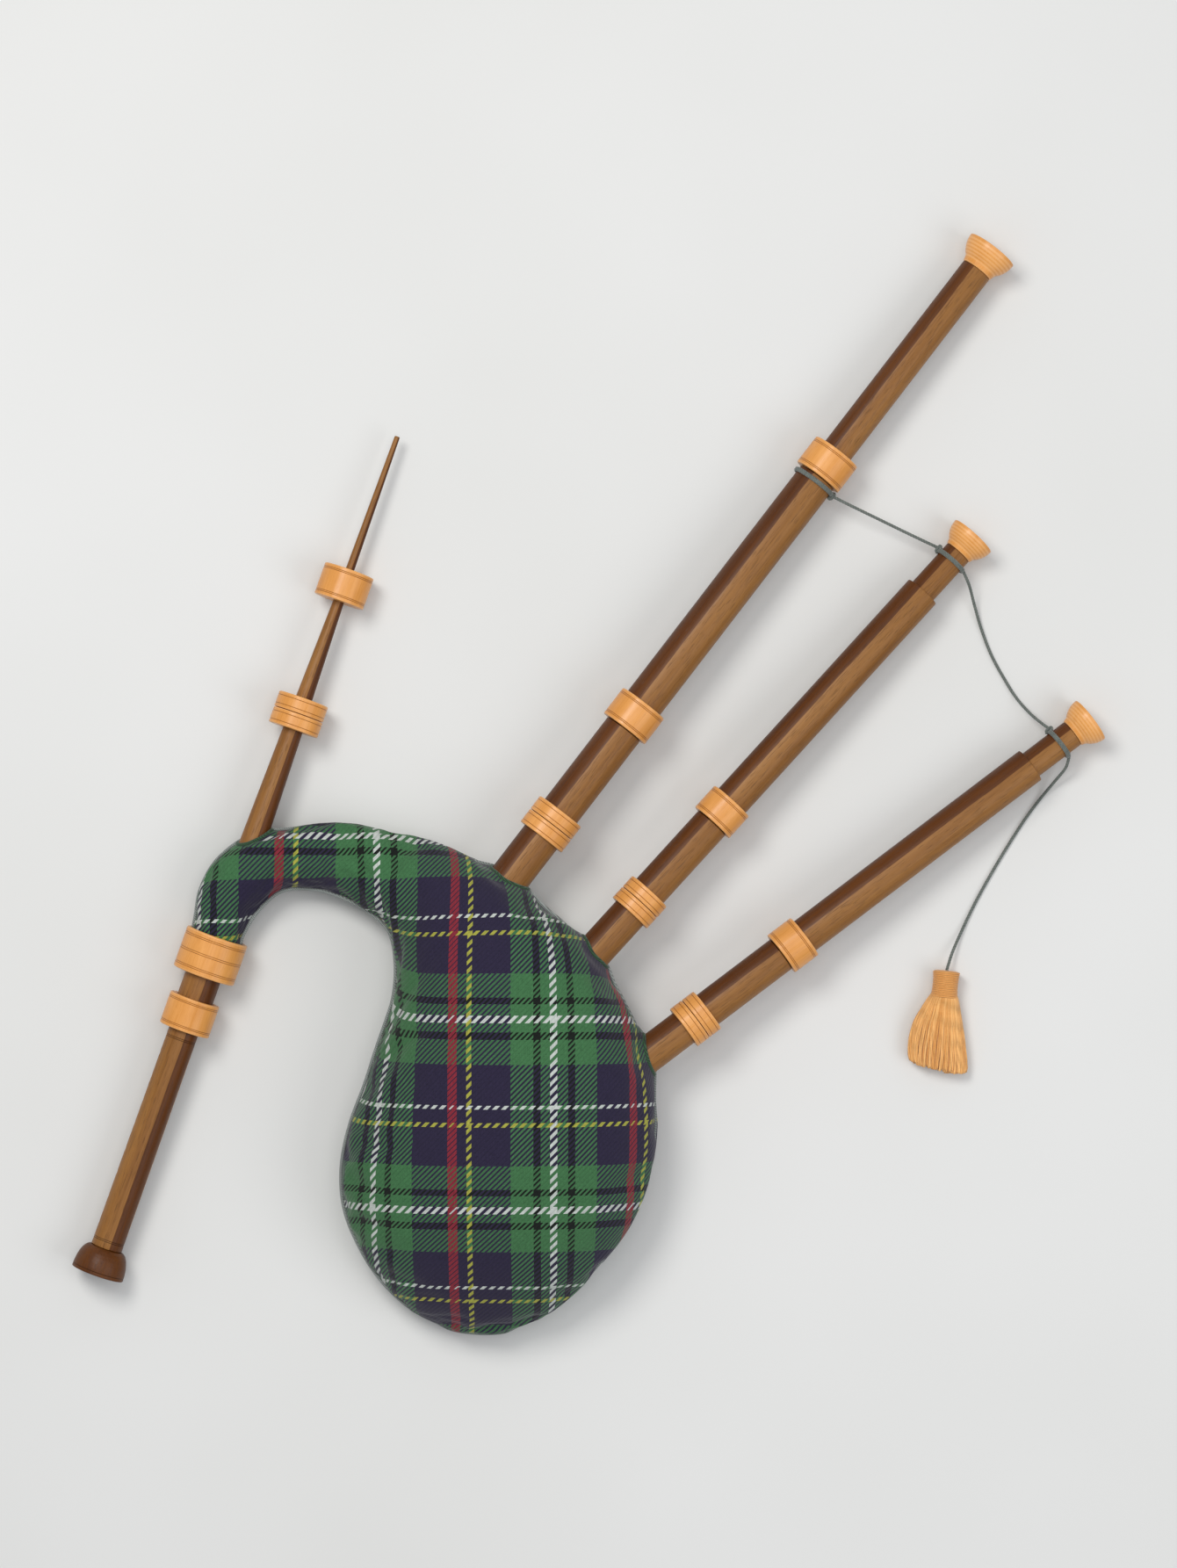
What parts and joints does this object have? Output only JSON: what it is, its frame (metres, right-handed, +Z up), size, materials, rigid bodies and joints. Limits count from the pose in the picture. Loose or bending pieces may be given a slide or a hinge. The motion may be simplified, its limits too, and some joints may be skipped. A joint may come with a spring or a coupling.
{
  "type": "bagpipes",
  "caption": "Highland-style bagpipes lying on one side: cloth-covered bag, turned wooden drones, blowpipe and chanter, with the cord that ties the drones and its tassel.",
  "frame": {"origin": "middle of the footprint, on the surface the instrument lies on", "axes": "+Z up from that surface, +Y towards the drones' bells along the longest side, +X towards the outer tenor drone"},
  "size_m": [0.9927, 1.058, 0.1518],
  "materials": {
    "hide": "undyed hide, matt",
    "tartan": "green and purple tartan twill with piped seams",
    "wood": "turned brown wood with a darker band of heartwood, satin",
    "dark_wood": "dark brown turned wood, satin",
    "boxwood": "tan turned mounts, polished",
    "hemp": "waxed hemp thread",
    "cane": "natural cane",
    "brass": "plain brass",
    "leather": "soft brown leather",
    "cord": "grey-green twisted cord",
    "tassel": "tan thread"
  },
  "bodies": {
    "root": {"hide_bag": "hide", "bag_cover": "tartan", "bass_stock": "wood", "tenor_1_stock": "wood", "tenor_2_stock": "wood", "blowpipe_stock": "wood", "chanter_stock": "wood", "bass_stock_ferrule": "boxwood", "tenor_1_stock_ferrule": "boxwood", "tenor_2_stock_ferrule": "boxwood", "blowpipe_stock_ferrule": "boxwood", "chanter_stock_ferrule": "boxwood", "neck_collar": "boxwood", "cord_bass_to_tenor_1": "cord", "cord_tenor_1_to_tenor_2": "cord", "cord_to_tassel": "cord", "tassel_head": "tassel", "tassel_skirt": "tassel"},
    "bass_bottom": {"bass_bottom_joint": "wood", "bass_bottom_mount": "boxwood", "bass_tenon_hemp": "hemp", "bass_lower_pin_hemp": "hemp", "bass_reed": "cane"},
    "bass_middle": {"bass_middle_joint": "wood", "bass_middle_ferrule": "boxwood", "bass_upper_pin_hemp": "hemp", "bass_cord_loop": "cord"},
    "bass_top": {"bass_top_joint": "wood", "bass_top_ferrule": "boxwood", "bass_bell": "boxwood"},
    "tenor_1_bottom": {"tenor_1_bottom_joint": "wood", "tenor_1_bottom_mount": "boxwood", "tenor_1_tenon_hemp": "hemp", "tenor_1_pin_hemp": "hemp", "tenor_1_reed": "cane"},
    "tenor_1_top": {"tenor_1_top_joint": "wood", "tenor_1_top_ferrule": "boxwood", "tenor_1_bell": "boxwood", "tenor_1_cord_loop": "cord"},
    "tenor_2_bottom": {"tenor_2_bottom_joint": "wood", "tenor_2_bottom_mount": "boxwood", "tenor_2_tenon_hemp": "hemp", "tenor_2_pin_hemp": "hemp", "tenor_2_reed": "cane"},
    "tenor_2_top": {"tenor_2_top_joint": "wood", "tenor_2_top_ferrule": "boxwood", "tenor_2_bell": "boxwood", "tenor_2_cord_loop": "cord"},
    "blowpipe_tenon": {"blowpipe_tenon_hemp": "hemp"},
    "blowpipe": {"blowpipe_tube": "wood", "blowpipe_mount": "boxwood", "valve_collar": "brass"},
    "valve": {"valve_flap": "leather"},
    "mouthpiece": {"mouthpiece": "wood", "mouthpiece_ferrule": "boxwood"},
    "chanter_tenon": {"chanter_tenon_hemp": "hemp"},
    "chanter": {"chanter_body": "wood", "chanter_sole": "dark_wood", "chanter_reed_staple": "brass", "chanter_reed_blades": "cane"}
  },
  "joints": [
    {"name": "bass_bottom_twist", "type": "hinge", "parent": "root", "child": "bass_bottom", "pos_m": [-0.03601, -0.03822, 0.05517], "axis": [0.6088, 0.7922, -0.0423], "continuous": true},
    {"name": "bass_middle_slide", "type": "slide", "parent": "root", "child": "bass_middle", "axis": [0.6088, 0.7922, -0.0423], "range_m": [0, 0.02]},
    {"name": "bass_top_slide", "type": "slide", "parent": "bass_middle", "child": "bass_top", "axis": [0.6088, 0.7922, -0.0423], "range_m": [0, 0.03]},
    {"name": "tenor_1_bottom_twist", "type": "hinge", "parent": "root", "child": "tenor_1_bottom", "pos_m": [0.04895, -0.11289, 0.05379], "axis": [0.673, 0.737, -0.0633], "continuous": true},
    {"name": "tenor_1_top_slide", "type": "slide", "parent": "root", "child": "tenor_1_top", "axis": [0.673, 0.737, -0.0633], "range_m": [0, 0.03]},
    {"name": "tenor_2_bottom_twist", "type": "hinge", "parent": "root", "child": "tenor_2_bottom", "pos_m": [0.10232, -0.22448, 0.05439], "axis": [0.7972, 0.6003, -0.0633], "continuous": true},
    {"name": "tenor_2_top_slide", "type": "slide", "parent": "root", "child": "tenor_2_top", "axis": [0.7972, 0.6003, -0.0633], "range_m": [0, 0.03]},
    {"name": "blowpipe_pull", "type": "slide", "parent": "root", "child": "blowpipe_tenon", "axis": [0.3335, 0.9419, -0.0395], "range_m": [0, 0.035]},
    {"name": "blowpipe_twist", "type": "hinge", "parent": "blowpipe_tenon", "child": "blowpipe", "pos_m": [-0.27864, 0.06715, 0.03087], "axis": [0.3335, 0.9419, -0.0395], "continuous": true},
    {"name": "mouthpiece_twist", "type": "hinge", "parent": "blowpipe", "child": "mouthpiece", "pos_m": [-0.23494, 0.19054, 0.0257], "axis": [0.3335, 0.9419, -0.0395], "continuous": true},
    {"name": "valve_swing", "type": "hinge", "parent": "blowpipe", "child": "valve", "pos_m": [-0.29236, 0.02839, 0.02629], "axis": [0.9426, -0.3338, 0], "range_deg": [0, 40], "stiffness_Nm_per_rad": 0.0001},
    {"name": "chanter_pull", "type": "slide", "parent": "root", "child": "chanter_tenon", "axis": [-0.3366, -0.9415, -0.0176], "range_m": [0, 0.045]},
    {"name": "chanter_twist", "type": "hinge", "parent": "chanter_tenon", "child": "chanter", "pos_m": [-0.38858, -0.23615, 0.03016], "axis": [-0.3366, -0.9415, -0.0176], "continuous": true}
  ]
}
